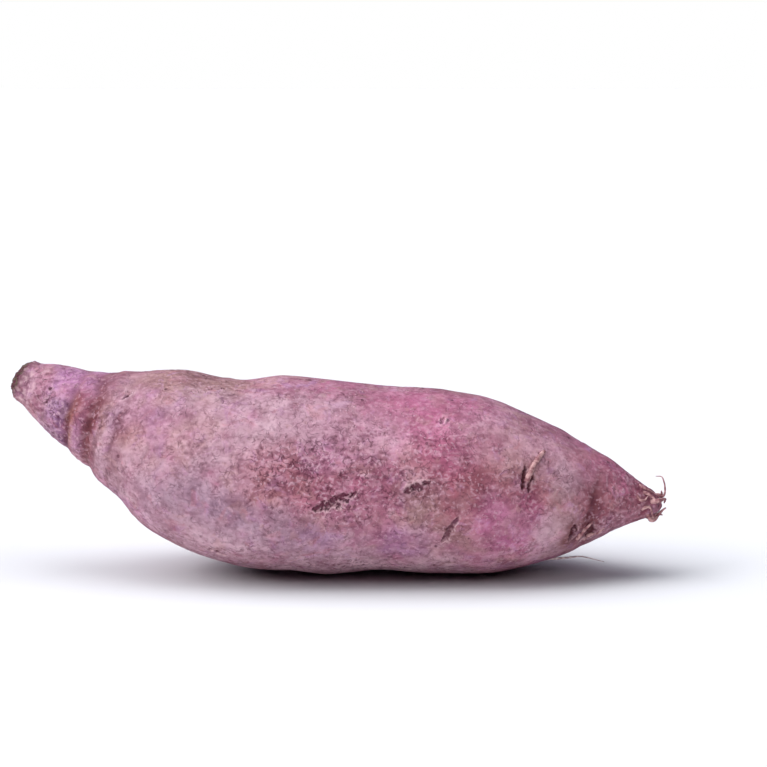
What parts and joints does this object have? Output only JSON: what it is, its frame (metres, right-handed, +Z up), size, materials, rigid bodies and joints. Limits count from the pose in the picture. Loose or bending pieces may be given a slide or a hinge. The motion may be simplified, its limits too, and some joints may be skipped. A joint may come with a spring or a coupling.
{
  "type": "purple sweet potato",
  "caption": "Whole raw sweet potato with rough purple skin: a bent neck with a woody broken-off crown, a thick belly that it lies on, and a pointed tail.",
  "frame": {"origin": "on the surface the root lies on, under the centre of its bounding box", "axes": "+X from the crown to the tail, +Z up, -Y towards the side that the picture shows"},
  "size_m": [0.2006, 0.061, 0.0644],
  "materials": {
    "skin": "dull, dry and rough, with fine dark pores, corky specks and a faint waxy sheen"
  },
  "bodies": {
    "root": {"sweet_potato": "skin"}
  },
  "joints": []
}
